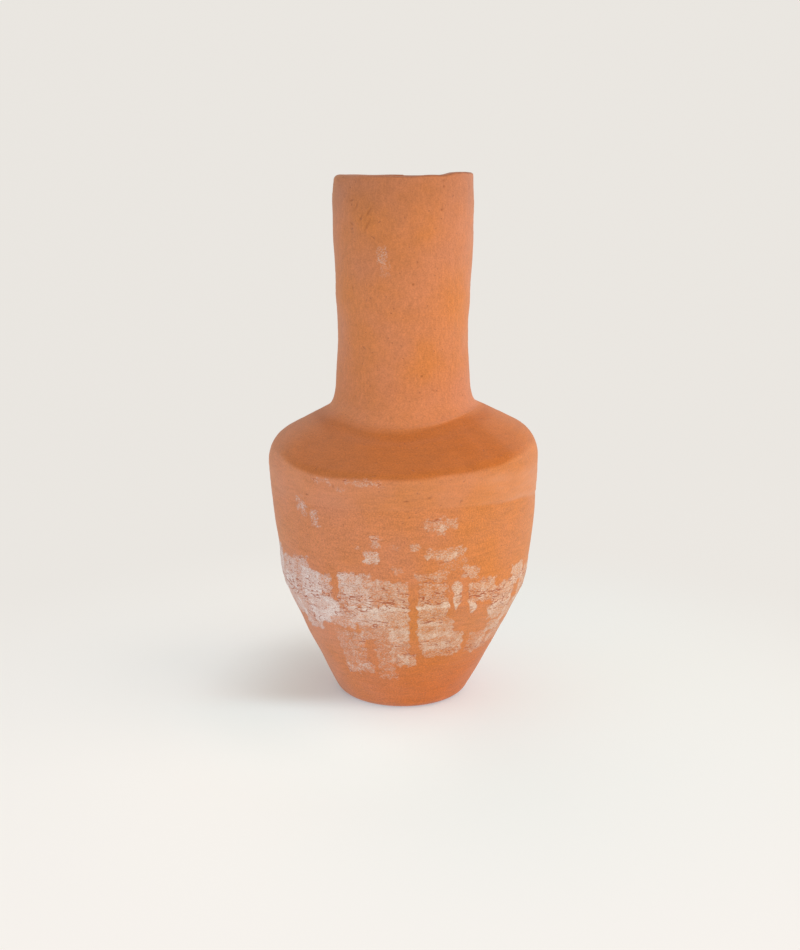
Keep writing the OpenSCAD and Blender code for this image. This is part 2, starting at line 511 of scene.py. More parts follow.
def washed(degrees, height, run):
    """1 inside a clean run: near the bent line that its places draw, within its half width."""
    line = np.array(run)[::-1]
    at = np.interp(height, line[:, 1], line[:, 0])
    half = np.interp(height, line[:, 1], line[:, 2])
    within = smooth_step(line[0, 1] - 3, line[0, 1], height) * smooth_step(
        line[-1, 1] + 2, line[-1, 1], height
    )
    return smooth_step(half + 1.0, half - 0.9, np.abs(apart(degrees, at))) * within


def lime_cover(angle, height):
    """How much lime each place holds, from 0 to about 1.

    Dabs overlap like glazes: the bare share left is the product of (1 - dab). Edges are pushed
    about by small waves first. The seam's ridge catches a bright line at the front.
    """
    sideways = 0.5 * uneven(angle, height, 51, (30, 110), (4, 12), 40)
    upward = 0.8 * uneven(angle, height, 52, (20, 90), (5, 14), 40)
    degrees = np.degrees(angle) + sideways
    level_z = height + DAB_DROP + upward + 0.7 * uneven(angle, height, 54, (6, 30), (10, 40), 20)
    bare = np.ones(degrees.shape)
    for left, right, low, high, strength in DABS:
        bare = bare * (1 - dab(degrees, level_z, left, right, low, high, strength))
    off = level_z - DAB_DROP - seam_height(angle)
    line = 0.95 * bell(off, 0.6, 2.2) * smooth_step(-34, -22, degrees) * smooth_step(34, 20, degrees)
    cover = 1 - bare * (1 - line)
    strokes = 1 + 0.10 * uneven(angle, height, 53, (10, 60), (8, 60), 40)
    return np.clip(cover * strokes, 0, 1)


def clean_cover(angle, height):
    """Where the runs washed the wall clean, with smoother edges than the dabs have."""
    degrees = np.degrees(angle) + 0.35 * uneven(angle, height, 55, (20, 60), (6, 16), 30)
    clean = np.zeros(degrees.shape)
    for run in RUNS:
        clean = np.maximum(clean, washed(degrees, height + DAB_DROP, run))
    return clean


# %% [markdown]
# ## A browner slope, painted shade and slip
# Bare clay also changes colour by place. The shoulder's slope was left unwiped and is browner and
# darker: partly its own browner clay, partly painted shade where the slope faces up, away from the
# lights, with more painted shade in the trough under the collar. The neck is darker towards the
# mouth, a painted shade where the light falls off. The foot is tinted warmer, with less green and
# blue, most at the front right. The scored belt over the waist broke the
# lime, and the wet hand left pale slip over the shoulder joint. Each is one more number for each
# point, from 0 to about 1, so that one material can serve several sections without a seam.

# %% The other coats


def skin_and_shade_cover(angle, height):
    """Where the slope is browner and darker: its own browner clay plus painted shade where it faces up,
    with more painted shade in the collar's trough.
    """
    edge = SHOULDER[1] - 3.0 + 0.7 * wavering(angle, 35, (2, 9), 10)
    foot = collar_foot(angle)
    soft = 4.5 * (1 - 0.85 * collar_crisp(angle))
    slope = smooth_step(-2.0, 2.5, height - edge) * smooth_step(soft, -soft, height - foot)
    slope = slope * (1 - 0.5 * smooth_step(36, 75, np.abs(np.degrees(angle))))
    # Painted shade in the hollow under the collar's foot, strongest at the front
    trough = 0.45 * collar_trough(angle, height) * smooth_step(-1, 0.6, np.cos(angle))
    return slope + trough


def neck_shade_cover(height):
    """How much painted shade darkens the neck where the light falls off: a little from half way up, more
    at the mouth.
    """
    return 0.07 * smooth_step(330, 390, height) + 0.12 * smooth_step(402, 434, height)


def warm_cover(angle, height):
    """Where the clay is tinted warmer, with less green and blue: round the foot, least at the back left.
    """
    return smooth_step(90, 20, height) * (0.5 + 0.5 * np.sin(angle + 0.6))


def torn_cover(angle, height):
    """Where the scored clay cracked the lime most: a belt just above the waist seam."""
    return bell(height - seam_height(angle), 7.0, 9.0)


def slip_cover(angle, height):
    """How much pale slip the wet smoothing left over the shoulder joint, clearest at the right."""
    rise = height - band_edge(angle)
    body = smooth_step(-1.5, 1.5, rise) * (1 - smooth_step(20, 30, rise))
    share = 0.2 + 0.5 * smooth_step(0.1, 0.9, np.sin(angle))
    return body * share * (1 + 0.2 * uneven(angle, height, 33, (3, 20), (30, 90), 20))


# %% [markdown]
# ## From section to mesh
# Every section is a closed ring of clay. Its cross-section is a loop: up the outside, over the
# joint, down the inside and back. Swept round the axis, the loop gives a grid of points whose
# rows and columns both close, so the mesh has no open edge. The places come straight from whole
# arrays, and foreach_set hands them to Blender without a loop over vertices.

# %% Cutting a stretch out of a path


def stretch(path, start, stop, step, rows=None):
    """The part of a path between two heights, in even steps of about a length, or in so many rows."""
    along = np.concatenate([[0], np.cumsum(np.linalg.norm(np.diff(path, axis=0), axis=1))])
    rising = path[:, 1] + 1e-9 * np.arange(len(path))
    ends = np.interp([start, stop], rising, along)
    even = np.linspace(ends[0], ends[1], rows or int(round((ends[1] - ends[0]) / step)) + 1)
    return np.stack([np.interp(even, along, path[:, k]) for k in (0, 1)], axis=1)


def normals_of(line):
    """Unit normals on the right-hand side of (radius, height) lines, whose rows run up the wall."""
    along = np.gradient(line, axis=0)
    along = along / np.maximum(np.linalg.norm(along, axis=-1, keepdims=True), 1e-9)
    return np.stack([along[..., 1], -along[..., 0]], axis=-1)


def full_turn(around):
    """So many angles evenly round the jar, starting at the back."""
    return np.linspace(-np.pi, np.pi, around, endpoint=False)


def between(one, two, share):
    """Two lines with equal rows mixed by a share for each angle: rows, then columns, then (r, z)."""
    share = share[None, :, None]
    return one[:, None] * (1 - share) + two[:, None] * share


# %% Sweeping a stretch round the axis


def swept(line, around, marks=None):
    """Points of a line swept round the axis: rows up the line, columns round the jar.

    The line may be one for all angles, or one for each. Every point is moved along the line's
    normal by its marks, and then by hand_shape.
    """
    angle = full_turn(around)[None, :]
    if line.ndim == 2:
        line = np.repeat(line[:, None], around, axis=1)
    if marks is not None:
        line = line + marks(angle, line[..., 1])[..., None] * normals_of(line)
    return hand_shape(angle, line[..., 0], line[..., 1])


def bridge(one, other, rows=4):
    """Rows of points between two rings, without the rings themselves."""
    share = np.linspace(0, 1, rows + 2)[1:-1, None, None]
    return one[None] * (1 - share) + other[None] * share


# %% Handing points and faces to Blender


def put_mesh(name, points, faces, coats=None):
    """A mesh object from points in millimetres and face arrays, one array for each face size.

    coats holds what was brushed on: a name, such as lime, and one number for each point.
    """
    mesh = bpy.data.meshes.new(name)
    mesh.vertices.add(len(points))
    mesh.vertices.foreach_set("co", (points * MM).astype(np.float32).ravel())
    corners = np.concatenate([group.ravel() for group in faces]).astype(np.int32)
    sizes = np.concatenate([np.full(len(group), group.shape[1]) for group in faces])
    mesh.loops.add(len(corners))
    mesh.loops.foreach_set("vertex_index", corners)
    mesh.polygons.add(len(sizes))
    starts = np.concatenate([[0], np.cumsum(sizes)[:-1]]).astype(np.int32)
    mesh.polygons.foreach_set("loop_start", starts)
    mesh.polygons.foreach_set("use_smooth", np.ones(len(sizes), dtype=bool))
    mesh.update(calc_edges=True)
    mesh.validate()
    mesh.set_sharp_from_angle(angle=math.radians(50))
    for coat, amount in (coats or {}).items():
        held = mesh.attributes.new(coat, "FLOAT", "POINT")
        held.data.foreach_set("value", amount.astype(np.float32).ravel())
    piece = bpy.data.objects.new(name, mesh)
    bpy.context.scene.collection.objects.link(piece)
    print(f"{name}: {len(points)} points, {len(sizes)} faces")
    return piece


# %% Closing a grid into a ring or a disc


def ring_piece(name, grid, coats=None):
    """A closed ring from a grid whose rows and columns both meet their own start."""
    rows, columns = grid.shape[:2]
    here = np.arange(rows * columns).reshape(rows, columns)
    up, on = np.roll(here, -1, axis=0), np.roll(here, -1, axis=1)
    faces = np.stack([here, on, np.roll(up, -1, axis=1), up], axis=-1).reshape(-1, 4)
    return put_mesh(name, grid.reshape(-1, 3), [faces], coats)


def disc_piece(name, grid, coats=None):
    """A closed disc from a grid whose first and last rows are small rings round the axis.

    Each end is closed by a fan of triangles to a point at the middle of its ring.
    """
    rows, columns = grid.shape[:2]
    here = np.arange(rows * columns).reshape(rows, columns)
    on = np.roll(here, -1, axis=1)
    walls = np.stack([here[:-1], on[:-1], on[1:], here[1:]], axis=-1).reshape(-1, 4)
    under, over = np.full(columns, rows * columns), np.full(columns, rows * columns + 1)
    first = np.stack([under, on[0], here[0]], axis=-1)
    last = np.stack([here[-1], on[-1], over], axis=-1)
    poles = np.stack([grid[0].mean(axis=0), grid[-1].mean(axis=0)])
    points = np.concatenate([grid.reshape(-1, 3), poles])
    return put_mesh(name, points, [walls, np.concatenate([first, last])], coats)


# %% [markdown]
# ## The four wall sections
# Each wall section takes its place from the frame: the two heights where its outer face starts
# and stops, and the two where its inner face does. The joints between them are bevelled, so those
# differ by a few millimetres. A section rides on the body root and stands for its own CAD node.

# %% Joints, as (outer height, inner height)
FOOT_JOINT = (FLOOR, FLOOR)
WAIST_JOINT = (low_mm("belly_wall")[2], high_mm("lower_wall")[2])
BELLY_JOINT = (low_mm("shoulder")[2], high_mm("belly_wall")[2])
NECK_JOINT = (NECK_FOOT_Z, low_mm("neck")[2])
RIM_JOINT = (low_mm("rim")[2], high_mm("neck")[2])
print("waist joint at", np.round(WAIST_JOINT, 1), "shoulder joint at", np.round(BELLY_JOINT, 1))


def stands_for(piece, node):
    """The piece moves with the jar and hides its CAD node."""
    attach(piece, "root")
    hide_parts(node)
    return piece


def inside_marks(angle, height):
    """Deeper finger rings inside, where nobody smoothed them, fading out at the mouth."""
    wave = np.sin(2 * np.pi * (height + 1.5 * uneven(angle, height, 61, (1, 3), (90, 200), 8)) / 11)
    clear_of_mouth = 1 - smooth_step(TOP - 45, TOP - 10, height)
    return 0.35 * wave * clear_of_mouth * smooth_step(FLOOR, FLOOR + 8, height)


def coats_on(angle, plain, real):
    """Every coat at places on the outside: plain heights on the outline, real ones on the jar."""
    return {
        "lime": lime_cover(angle, real),
        "clean": clean_cover(angle, real),
        "slip": slip_cover(angle, real),
        "torn": torn_cover(angle, real),
        "warm": warm_cover(angle, real),
        # Painted shade: the neck darker towards the mouth, where the light falls off
        "neck_shade": neck_shade_cover(real),
        # Browner clay plus painted shade on the slope and in the collar's trough
        "skin_and_shade": skin_and_shade_cover(angle, plain),
        "scored": np.clip(-small_marks(angle, plain) / PIT_DEPTH, 0, 1),
    }


def wall_section(node, low, high, around, step):
    """A closed ring of wall between two joints, with its coats as numbers at each point."""
    out_line = stretch(outside, low[0], high[0], step)
    if node == "shoulder":
        crisp_line = stretch(crisp_outside, low[0], high[0], step, len(out_line))
        out_line = between(out_line, crisp_line, edge_crispness(full_turn(around)))
    in_line = stretch(inside, low[1], high[1], 4.0)[::-1]
    out_grid = swept(out_line, around, outside_marks)
    in_grid = swept(in_line, around, inside_marks)
    grid = np.concatenate(
        [out_grid, bridge(out_grid[-1], in_grid[0]), in_grid, bridge(in_grid[-1], out_grid[0])]
    )
    angle = full_turn(around)[None, :]
    out_height = out_line[..., 1] if out_line.ndim == 3 else out_line[:, 1:] + 0 * angle
    coats = {}
    for coat, cover in coats_on(angle, out_height, out_grid[..., 2]).items():
        coats[coat] = np.zeros(grid.shape[:2])
        coats[coat][: len(out_line)] = cover
    return stands_for(ring_piece(f"{node}_clay", grid, coats), node)


lower_wall = wall_section("lower_wall", FOOT_JOINT, WAIST_JOINT, 640, 1.05)
belly_wall = wall_section("belly_wall", WAIST_JOINT, BELLY_JOINT, 720, 1.0)
shoulder = wall_section("shoulder", BELLY_JOINT, NECK_JOINT, 680, 1.1)
neck = wall_section("neck", NECK_JOINT, RIM_JOINT, 420, 0.9)

# %% [markdown]
# ## The rim
# The lip was rounded off with a wet thumb, more on the left than on the right. Two outlines are
# drawn, one with a round lip and one with a crisp one, and the angle mixes them. A dark line of
# painted shade lies along the lip's top edge and just inside the mouth, darkest at the right.

# %% The rim
ROUND_LIP = 4.5
CRISP_LIP = 2.0
RIM_ROWS = 64
# Rows inside the mouth that carry the full painted shade
LIP_SHADE_ROWS = 6


def lip_line(arc):
    """The rim's outside with a given arc at the lip: up the wall, over the edge and onto the flat."""
    edge = (LIP[0] - 0.25 * arc, TOP, arc)
    path = soft_path([NECK_SWELL[:2] + (0.0,), RIM_BULGE, edge, LIP_MIDDLE])
    return stretch(path, RIM_JOINT[0], TOP + 1, 0.8, RIM_ROWS)


def rim_section(around=420):
    """The rim as a closed ring: the mixed lip outside, the mouth inside and the joint below."""
    crisp = smooth_step(-0.9, 0.9, np.sin(full_turn(around)))
    out_line = between(lip_line(ROUND_LIP), lip_line(CRISP_LIP), crisp)
    out_grid = swept(out_line, around, outside_marks)
    in_line = stretch(inside, RIM_JOINT[1], TOP + 1, 0.8)[::-1]
    in_grid = swept(in_line, around, inside_marks)
    grid = np.concatenate([out_grid, in_grid[1:], bridge(in_grid[-1], out_grid[0])])
    # Painted shade along the lip's top edge and just inside the mouth, darkest at the right
    brim = np.zeros(grid.shape[:2])
    brim[:RIM_ROWS] = smooth_step(TOP - 2.0, TOP - 0.4, out_line[..., 1])
    brim[RIM_ROWS : RIM_ROWS + LIP_SHADE_ROWS] = 1
    brim = brim * (0.65 + 0.35 * np.sin(full_turn(around)))
    coats = coats_on(full_turn(around)[None, :], grid[..., 2], grid[..., 2])
    return stands_for(ring_piece("rim_clay", grid, coats | {"brim": brim}), "rim")


rim = rim_section()

# %% [markdown]
# ## The floor
# The floor is the disc that the jar stands on. Its outline runs from the axis out along the
# standing face, up round the soft bottom edge to the wall joint, and back across the top.

# %% The floor disc


def floor_section(around=420):
    """The floor as a disc closed by a fan at each pole."""
    under = stretch(outside, -1, FLOOR, 1.0)
    edge = under[-1, 0]
    radius = np.arange(edge - 1, 0.9, -1.5)
    over = np.stack([radius, np.full(len(radius), FLOOR)], axis=1)
    grid = np.concatenate([swept(under[1:], around, outside_marks), swept(over, around)])
    warm = warm_cover(full_turn(around)[None, :], grid[..., 2]).ravel()
    coats = {"warm": np.concatenate([warm, [0.5, 0.5]])}
    return stands_for(disc_piece("floor_disc_clay", grid, coats), "floor_disc")


floor_disc = floor_section()

# %% [markdown]
# ## The coils
# Coils of clay were worked into the joints. The collar shows: a hollow fillet round the foot of
# the neck, pulled out further at the front and back than at the sides, with a pressed lower edge.
# The other three are inside, where fingers pushed them flat.

# %% The collar
COLLAR_RISE = 17.0
COLLAR_SCRATCH = ((-60, 262), (-12, 258))
COLLAR_DEPTH = 2.5


def collar_section(around=480, rows=48):
    """The collar as a closed ring.

    Each column is a bend from the slope up to the neck: with t from 0 to 1 and the corner
    between slope and neck at the middle of the sum, it is (1-t)^2 times the foot, plus 2t(1-t)
    times the corner, plus t^2 times the top. Both ends dip under the wall. The foot is pressed
    up a little at the front right, and the hidden side runs inside the shoulder and the neck.
    """
    angle = full_turn(around)[None, :]
    corner = np.array(NECK_FOOT[:2])
    down = np.array(SHOULDER[:2]) - corner
    up = np.array(NECK_WAIST[:2]) - corner
    foot = corner + collar_run(angle)[0][:, None] * down / np.linalg.norm(down)
    top = corner + COLLAR_RISE * up / np.linalg.norm(up)
    t = np.linspace(0, 1, rows)[:, None, None]
    line = (1 - t) ** 2 * foot + 2 * t * (1 - t) * corner + t**2 * top
    t = t[..., 0]
    pressed = (0.1 + 1.2 * collar_crisp(angle)) * (1 - t) ** 6 * smooth_step(0, 0.03, t)
    tucked = 0.4 * smooth_step(0.03, 0, t) + 0.3 * smooth_step(0.9, 1, t)
    marks = 0.05 * rings(angle, line[..., 1]) + groove(angle, line[..., 1], *COLLAR_SCRATCH)
    line = line + (pressed - tucked + marks)[..., None] * normals_of(line)
    shown = hand_shape(angle, line[..., 0], line[..., 1])
    under = hand_shape(angle, *(corner[:, None, None] - COLLAR_DEPTH + 0 * angle))[0]
    grid = np.concatenate([shown, bridge(shown[-1], under, 6), under[None], bridge(under, shown[0], 6)])
    # Browner clay plus painted shade where the collar lies on the slope
    skin_and_shade = np.zeros(grid.shape[:2])
    skin_and_shade[:rows] = skin_and_shade_cover(angle, line[..., 1])
    return stands_for(ring_piece("collar_coil_clay", grid, {"skin_and_shade": skin_and_shade}), "collar_coil")


collar = collar_section()

# %% The coils inside


def inner_coil(node, bulge, around=240):
    """A coil pressed over a joint from inside: the wall's line, pushed in by half an ellipse."""
    line = stretch(inside, low_mm(node)[2], high_mm(node)[2], 1.2)
    t = np.linspace(-1, 1, len(line))[:, None]
    angle = full_turn(around)[None, :]
    depth = bulge * np.sqrt(1 - t**2) * (1 + 0.12 * uneven(angle, line[:, 1:], 71, (8, 22), (20, 60)))
    back = hand_shape(angle, line[:, :1] + 0.8 + 0 * angle, line[:, 1:] + 0 * angle)
    face = hand_shape(angle, line[:, :1] - depth, line[:, 1:] + 0 * angle)[::-1]
    grid = np.concatenate([back, face])
    return stands_for(ring_piece(f"{node}_clay", grid), node)


def foot_coil(around=240):
    """The fillet in the corner between floor and wall: an arc of radius 1 scaled to the coil."""
    reach = high_mm("base_coil")[2] - FLOOR
    corner = np.array([inner_foot[0], FLOOR])
    fillet = arc_points(np.array([0.0, FLOOR]), corner, np.array(inner_waist), 1.0, 16) - corner
    face = corner + fillet * reach / fillet[:, 1].max()
    back = corner + [1.0, -0.5]
    line = np.concatenate([face, back[None]])[::-1]
    return stands_for(ring_piece("base_coil_clay", swept(line, around)), "base_coil")


waist_coil = inner_coil("waist_coil", 6.0)
shoulder_coil = inner_coil("shoulder_coil", 6.0)
base_coil = foot_coil()

# %% [markdown]
# ## Shader maths in Python
# A material is a graph of nodes. Laying it out by hand hides the sums, so two small classes let
# them be written as sums. A Wire is a node's output that adds a Math node when it meets +, -, *
# or abs. A Bench is one material's table, and its add method lays out any node: the node's
# settings first, then a value or a wire for each socket.

# %% Wire and Bench


class Wire:
    """A number coming out of a node, which takes part in Python arithmetic."""

    def __init__(self, bench, socket):
        self.bench = bench
        self.socket = socket

    def sum_of(self, operation, one, two):
        return self.bench.add("ShaderNodeMath", {"operation": operation}, {0: one, 1: two})

    def __add__(self, other):
        return self.sum_of("ADD", self, other)

    def __sub__(self, other):
        return self.sum_of("SUBTRACT", self, other)

    def __mul__(self, other):
        return self.sum_of("MULTIPLY", self, other)

    def __rsub__(self, other):
        return self.sum_of("SUBTRACT", other, self)

    def __abs__(self):
        return self.sum_of("ABSOLUTE", self, 0.0)

    __radd__ = __add__
    __rmul__ = __mul__


class Bench:
    """One material's table, where its nodes are laid out."""

    def __init__(self, name):
        self.material = bpy.data.materials.new(name)
        self.material.use_nodes = True
        self.tree = self.material.node_tree
        self.tree.nodes.clear()
        place = self.add("ShaderNodeTexCoord", output="Object")
        self.place = self.add("ShaderNodeVectorMath", {"operation": "SCALE"}, {0: place, "Scale": 1 / MM})

    def add(self, kind, settings=None, sockets=None, output=0):
        """Lay out a node of a kind, set it, and fill its sockets with values or wires."""
        node = self.tree.nodes.new(kind)
        for key, value in (settings or {}).items():
            setattr(node, key, value)
        for key, value in (sockets or {}).items():
            if isinstance(value, Wire):
                self.tree.links.new(value.socket, node.inputs[key])
            else:
                node.inputs[key].default_value = value
        return Wire(self, node.outputs[output]) if node.outputs else None

    def step(self, low, high, value):
        """0 below low, 1 above high and a smooth rise between them."""
        sockets = {"Value": value, "From Min": low, "From Max": high}
        return self.add("ShaderNodeMapRange", {"interpolation_type": "SMOOTHSTEP"}, sockets)

    def mix(self, share, one, two):
        """A colour that is one where share is 0 and two where share is 1."""
        return self.add("ShaderNodeMix", {"data_type": "RGBA"}, {0: share, 6: one, 7: two}, output=2)

    def axes(self):
        """The place's x, y and z, each as a wire, in millimetres."""
        parts = self.add("ShaderNodeSeparateXYZ", {}, {0: self.place}).socket.node.outputs
        return [Wire(self, part) for part in parts]

    def coat(self, name):
        """How much of a coat each place carries: the number that the mesh keeps at its points."""
        return self.add("ShaderNodeAttribute", {"attribute_name": name}, output="Fac")

    def tint(self, colour, factors):
        """A colour with its red, green and blue each multiplied by a number."""
        return self.add("ShaderNodeVectorMath", {"operation": "MULTIPLY"}, {0: colour, 1: factors})

    def shade(self, colour, share):
        """A colour made lighter or darker, by multiplying it with a number."""
        return self.add("ShaderNodeVectorMath", {"operation": "SCALE"}, {0: colour, "Scale": share})

    def grit(self, size, stretch=(1, 1, 1), detail=2.0, shift=0.0):
        """Noise around 0, with features of a size in millimetres, drawn out along some axes."""
        scaled = self.add(
            "ShaderNodeVectorMath",
            {"operation": "MULTIPLY_ADD"},
            {0: self.place, 1: tuple(1 / (size * k) for k in stretch), 2: (shift, shift, shift)},
        )
        noise = self.add("ShaderNodeTexNoise", {}, {"Vector": scaled, "Scale": 1.0, "Detail": detail})
        return noise - 0.5


# %% [markdown]
# ## Fired clay
# Low-fired clay is never one colour. Large blotches lean to pink where the flame was cool and to
# ochre where it was hot, and the clay is pinker towards the left, partly its own tone and partly
# painted cool light from the left. Fine grit speckles it, and each wipe of the wet hand leaves
# streaks along its way: round the belly, and up the neck. A few sums of noise give all of it, each
# with a size in millimetres, and the same sums push the surface up and down through one Bump node.
# Then each coat that the points carry is brushed over it by its own function: the browner slope
# with its painted shade, the painted shade at the top of the neck and along the lip, slip and lime.

# %% Colours, as linear red, green and blue
ROSY = (0.61, 0.217, 0.100, 1)
OCHRE = (0.62, 0.196, 0.034, 1)
DEEP = (0.40, 0.115, 0.040, 1)
PEACH = (0.70, 0.30, 0.155, 1)
COOL_LIME = (0.73, 0.64, 0.61, 1)
WARM_LIME = (0.73, 0.56, 0.43, 1)
# Dark brown for scratches and pits, and for the painted shade along the lip
DARK_BROWN = (0.23, 0.060, 0.014, 1)
CRACK = (0.40, 0.090, 0.026, 1)

# Factors for a colour's red, green and blue: browner clay with painted shade on the slope, and the foot's
# warmer tint
BROWN_AND_SHADE = (0.785, 0.63, 0.27)
WARMER = (0.95, 0.70, 0.38)
# How far noise is drawn out along x, y and z
AROUND = (5, 5, 1)
UPWARD = (1, 1, 2)
SPREAD = (1.5, 1.5, 1)

# %% A clay finish


def clay(name, streaks, grainy=0.85, lean=0.0022, rosier=0.0):
    """A Bench with bare clay on it: its colour, and its height in millimetres.

    streaks draws the strokes out, and grainy is the grain's strength. lean turns the clay to ochre
    with each millimetre to the right, so that the left is pinker: partly the clay's own tone, partly
    painted cool light from the left. rosier turns all of it to pink.
    """
    bench = Bench(name)
    x = bench.axes()[0]
    # The lean to pink on the left is partly the clay's tone, partly painted cool light from the left
    blotch = bench.step(-0.34, 0.30, bench.grit(60, detail=3.0) + x * lean - rosier)
    colour = bench.mix(blotch, ROSY, OCHRE)
    cloud = bench.grit(14, detail=4.0, shift=7.0)
    stroke = bench.grit(2.6, stretch=streaks, detail=3.0, shift=3.0)
    grain = bench.grit(1.2, detail=3.0)
    bench.colour = bench.shade(colour, 1 + 0.16 * cloud + 0.36 * stroke + grainy * grain)
    bench.lively = 0.1 * grain - 0.1 * stroke
    pit = bench.step(0.29, 0.35, bench.grit(2.0, detail=0.0, shift=11.0))
    bench.colour = bench.mix(pit * 0.6, bench.colour, DEEP)
    bench.height = 0.12 * stroke + 0.13 * grain + 0.12 * cloud - 0.30 * pit
    bench.rough = 0.86 + 0.1 * cloud
    return bench


def browned_and_shaded(bench):
    """Browner clay with painted shade on the slope, painted shade at the neck's top, darker scratches and
    pits, and a warmer foot.
    """
    # The slope: its own browner clay plus painted shade where it faces up, away from the lights
    skin_and_shade = bench.coat("skin_and_shade")
    lively = bench.shade(bench.colour, 1 + skin_and_shade * bench.lively)
    bench.colour = bench.mix(skin_and_shade, lively, bench.tint(lively, BROWN_AND_SHADE))
    # Painted shade: the neck darker towards the mouth, where the light falls off
    bench.colour = bench.shade(bench.colour, 1 - bench.coat("neck_shade"))
    bench.colour = bench.mix(bench.coat("scored") * 0.8, bench.colour, DARK_BROWN)
    bench.colour = bench.mix(bench.coat("warm"), bench.colour, bench.tint(bench.colour, WARMER))
    return bench


def brimmed(bench):
    """Painted shade: a dark brown line along the lip's top edge and just inside the mouth."""
    share = bench.coat("brim") * (0.75 + 0.8 * bench.grit(7.0, shift=4.0))
    bench.colour = bench.mix(share, bench.colour, DARK_BROWN)
    return bench


def slipped(bench):
    """Pale slip, wiped on in streaks."""
    share = bench.coat("slip") * (0.6 + 0.8 * bench.grit(5.0, stretch=AROUND))
    bench.colour = bench.mix(share, bench.colour, PEACH)
    return bench


def lime_film(bench, lime, held):
    """Where paint is left: more of it the thicker the lime, broken up by specks and patches."""
    speck = bench.grit(0.9, stretch=SPREAD, shift=5.0)
    patch = bench.grit(4.5, stretch=SPREAD, detail=3.0, shift=2.0)
    return bench.step(0.0, 1.0, 1.15 * lime + held * (3.0 * speck + 0.9 * patch) - 0.02)


def lime_cracks(bench, film, held):
    """Fine crazing through the film, and long splits, mostly in the torn belt.

    Both are the thin lines where some noise crosses zero.
    """
    craze = bench.step(0.055, 0.0, abs(bench.grit(1.5, stretch=(1.6, 1.6, 1), shift=9.0)))
    split = bench.step(0.034, 0.008, abs(bench.grit(3.2, stretch=(4, 4, 1), detail=1.0, shift=21.0)))
    gate = bench.grit(9.0, stretch=(3, 3, 1), shift=13.0) + 0.2 * bench.coat("torn")
    belt = bench.step(0.0, 0.12, gate) * held
    return 0.6 * craze * film + 0.85 * split * belt


def limewash(bench):
    """Worn lime, cooler on the left, which the runs washed off and which cracks show through."""
    lime = bench.coat("lime")
    held = bench.step(0.03, 0.30, lime)
    unwashed = bench.step(0.65, 0.35, bench.coat("clean"))
    film = lime_film(bench, lime, held) * unwashed
    crack = lime_cracks(bench, film, held * unwashed)
    x = bench.axes()[0]
    lime_colour = bench.mix(bench.step(-80, 20, x), COOL_LIME, WARM_LIME)
    lime_colour = bench.shade(lime_colour, 0.90 + 0.22 * lime)
    bench.colour = bench.mix(film * (0.34 + 0.60 * lime), bench.colour, lime_colour)
    bench.colour = bench.mix(crack, bench.colour, CRACK)
    bench.height = bench.height + 0.12 * film - 0.06 * crack
    bench.rough = bench.rough + 0.08 * film
    return bench


def fired(bench):
    """Join a bench's colour, roughness and height to a shader, and give back the material."""
    bump = bench.add("ShaderNodeBump", {}, {"Strength": 1.0, "Distance": MM, "Height": bench.height})
    shader = bench.add(
        "ShaderNodeBsdfPrincipled",
        {},
        {
            "Base Color": bench.colour,
            "Roughness": bench.rough,
            "Normal": bump,
            "Specular IOR Level": 0.25,
            "Sheen Weight": 0.18,
            "Sheen Roughness": 0.6,
        },
    )
    bench.add("ShaderNodeOutputMaterial", {}, {"Surface": shader})
    print(f"{bench.material.name}: {len(bench.tree.nodes)} nodes")
    return bench.material


# %% The finish of each section


def finish(pieces, material):
    """Give every piece one material."""
    for piece in pieces:
        piece.data.materials.append(material)


body_clay = clay("clay_body", AROUND)
shoulder_clay = clay("clay_shoulder", AROUND, grainy=0.65)
neck_clay = clay("clay_neck", UPWARD, grainy=0.55, lean=0.0, rosier=0.10)
foot_clay = clay("clay_foot", AROUND)
inside_clay = clay("clay_inside", AROUND)
finish([lower_wall, belly_wall], fired(limewash(slipped(browned_and_shaded(body_clay)))))
finish([shoulder], fired(limewash(slipped(browned_and_shaded(shoulder_clay)))))
finish([neck, rim, collar], fired(brimmed(limewash(slipped(browned_and_shaded(neck_clay))))))
finish([floor_disc], fired(browned_and_shaded(foot_clay)))
finish([base_coil, waist_coil, shoulder_coil], fired(inside_clay))

# %% [markdown]
# ## The table
# The jar stands on a pale sheet of paper that curves up behind it, as in a small studio. The paper
# both reflects the light and glows a little, so that it stays pale in the shade. It glows least in
# the jar's shadow, at the left, and most far away, where it has to look evenly lit.

# %% The paper sweep
SHADE_GLOW = (0.11, 0.12, 0.13, 1)
FRONT_GLOW = (0.31, 0.39, 0.43, 1)
NEAR_GLOW = ((0.32, 0.35, 0.38, 1), (0.20, 0.28, 0.33, 1))
FAR_GLOW = ((0.77, 0.745, 0.71, 1), (0.87, 0.835, 0.80, 1))
PAPER_TONE = (0.70, 0.68, 0.66, 1)
FAR_TONE = (0.070, 0.068, 0.066, 1)


def paper_sweep(wide=6.0, front=-2.5, back=2.2, high=4.0, turn=1.2, rows=60):
    """A floor that bends up into a backdrop through a quarter circle, as a grid two points wide."""
    bend = np.linspace(0, np.pi / 2, rows)
    y = np.concatenate([[front], back - turn + turn * np.sin(bend), [back]])
    z = np.concatenate([[0.0], turn - turn * np.cos(bend), [high]])
    x = np.array([-wide, wide])
    grid = np.stack(np.broadcast_arrays(x[None, :], y[:, None], z[:, None]), axis=-1)
    here = np.arange(grid.shape[0] * 2).reshape(-1, 2)
    faces = np.stack([here[:-1, 0], here[:-1, 1], here[1:, 1], here[1:, 0]], axis=-1)
    return put_mesh("paper_sweep", grid.reshape(-1, 3) / MM, [faces])


